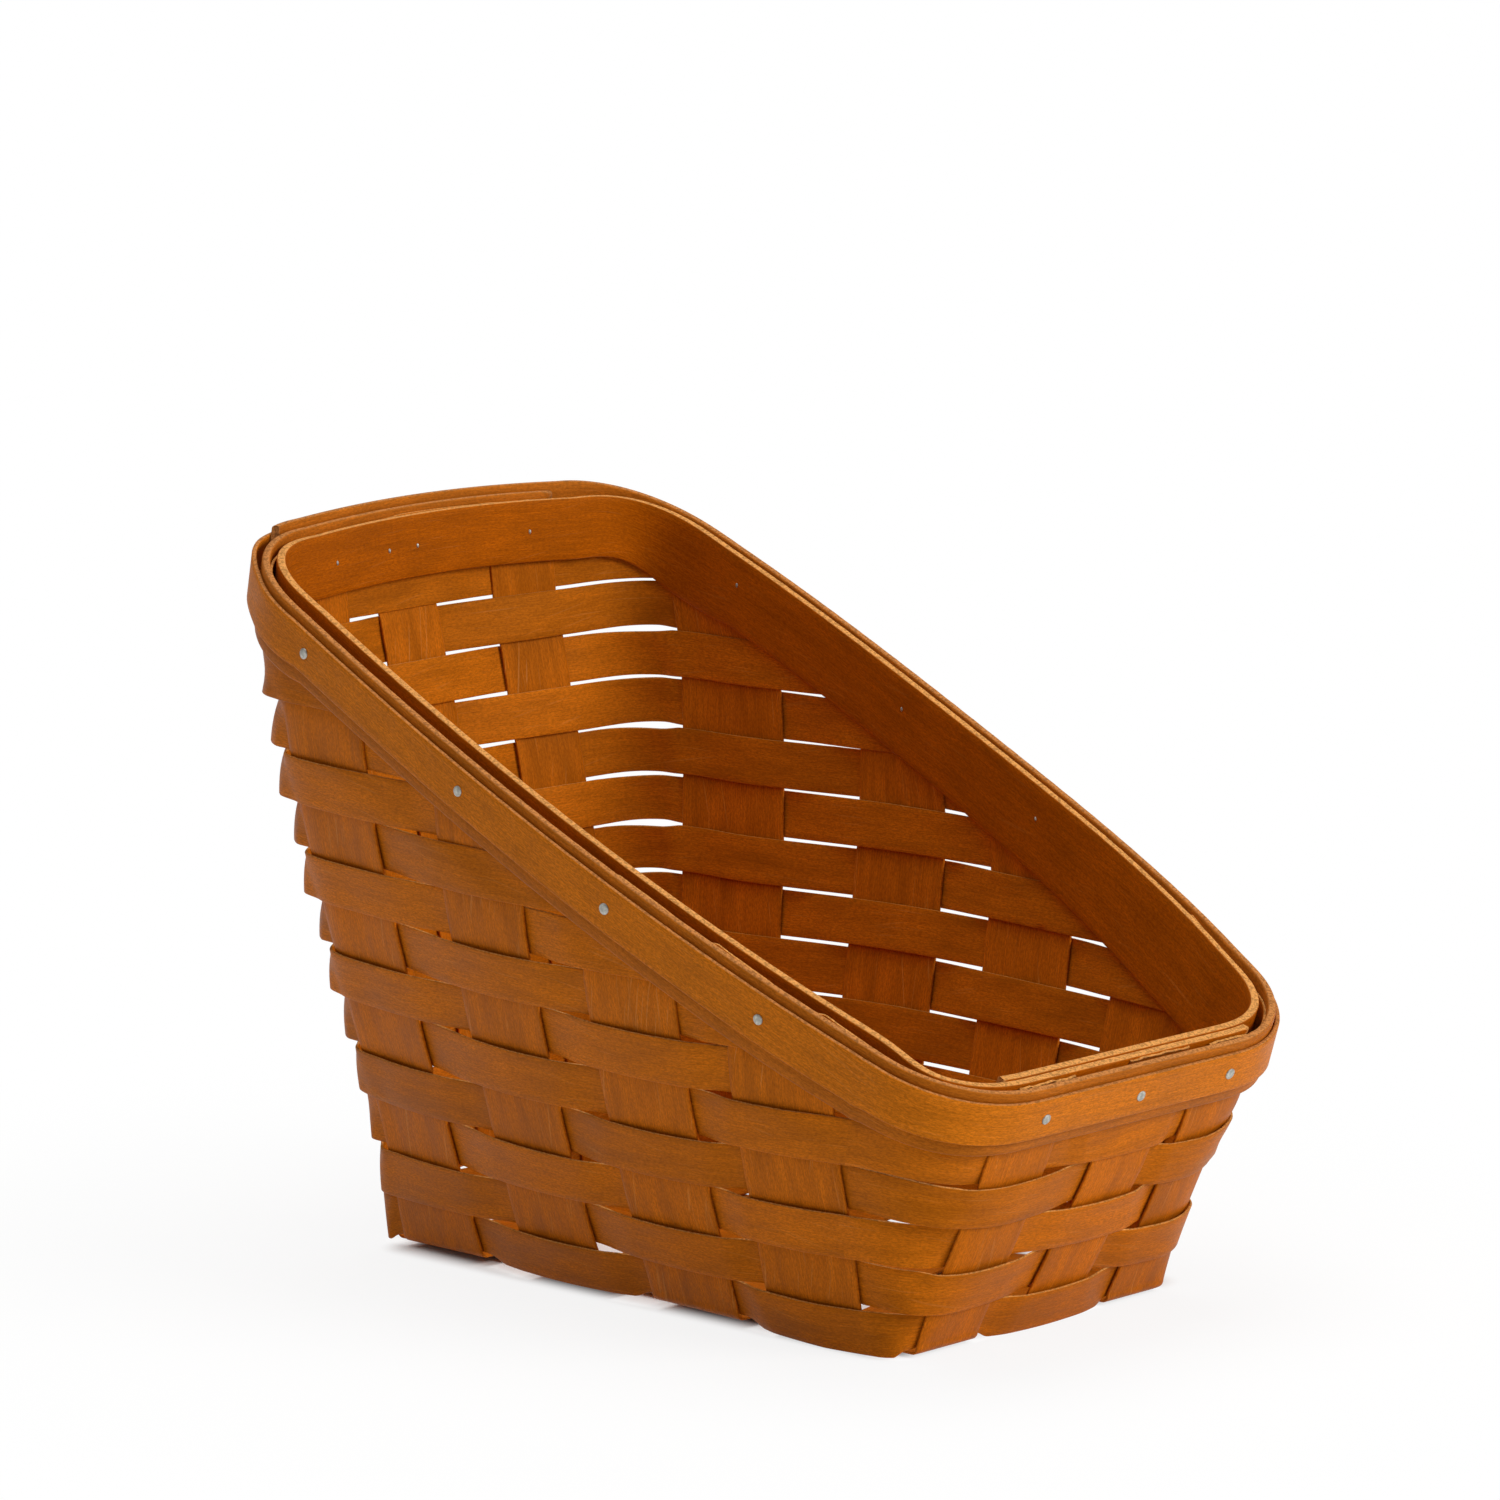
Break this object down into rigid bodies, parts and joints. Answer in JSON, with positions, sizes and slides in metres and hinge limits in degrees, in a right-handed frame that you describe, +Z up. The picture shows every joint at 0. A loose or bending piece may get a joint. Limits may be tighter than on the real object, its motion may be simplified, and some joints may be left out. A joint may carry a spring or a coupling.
{
  "type": "vegetable basket",
  "caption": "Rectangular woven-splint basket, low at the front and high at the back, with a slanted tacked wooden rim.",
  "frame": {"origin": "middle of the bounding box's footprint, on the surface the basket stands on", "axes": "+Z up, -Y towards the low front, +Y towards the high back, +X to the right seen from the front"},
  "size_m": [0.2138, 0.3252, 0.2381],
  "materials": {
    "weaver": "satin stained",
    "upright_splint": "satin stained",
    "inner_band": "satin stained, sawn edges paler",
    "outer_band": "satin stained, sawn edges paler",
    "trim_strip": "satin stained",
    "tack": "dull zinc"
  },
  "bodies": {
    "root": {"crosswise_splint_1": "upright_splint", "crosswise_splint_2": "upright_splint", "crosswise_splint_3": "upright_splint", "crosswise_splint_4": "upright_splint", "lengthwise_splint_left": "upright_splint", "lengthwise_splint_middle": "upright_splint", "lengthwise_splint_right": "upright_splint", "weaver_row_01": "weaver", "weaver_row_02": "weaver", "weaver_row_03": "weaver", "weaver_row_04": "weaver", "weaver_row_05": "weaver", "weaver_row_06": "weaver", "weaver_row_07": "weaver", "weaver_row_08": "weaver", "weaver_row_09": "weaver", "weaver_row_10": "weaver", "weaver_row_11": "weaver", "weaver_row_12": "weaver", "weaver_row_13": "weaver", "weaver_row_14": "weaver", "rim_inner_band": "inner_band", "rim_outer_band": "outer_band", "rim_trim_strip": "trim_strip", "tack_left_1": "tack", "tack_left_2": "tack", "tack_left_3": "tack", "tack_left_4": "tack", "tack_right_1": "tack", "tack_right_2": "tack", "tack_right_3": "tack", "tack_right_4": "tack", "tack_front_1": "tack", "tack_front_2": "tack", "tack_front_3": "tack", "tack_back_1": "tack", "tack_back_2": "tack", "tack_back_3": "tack", "tack_back_4": "tack"}
  },
  "joints": []
}
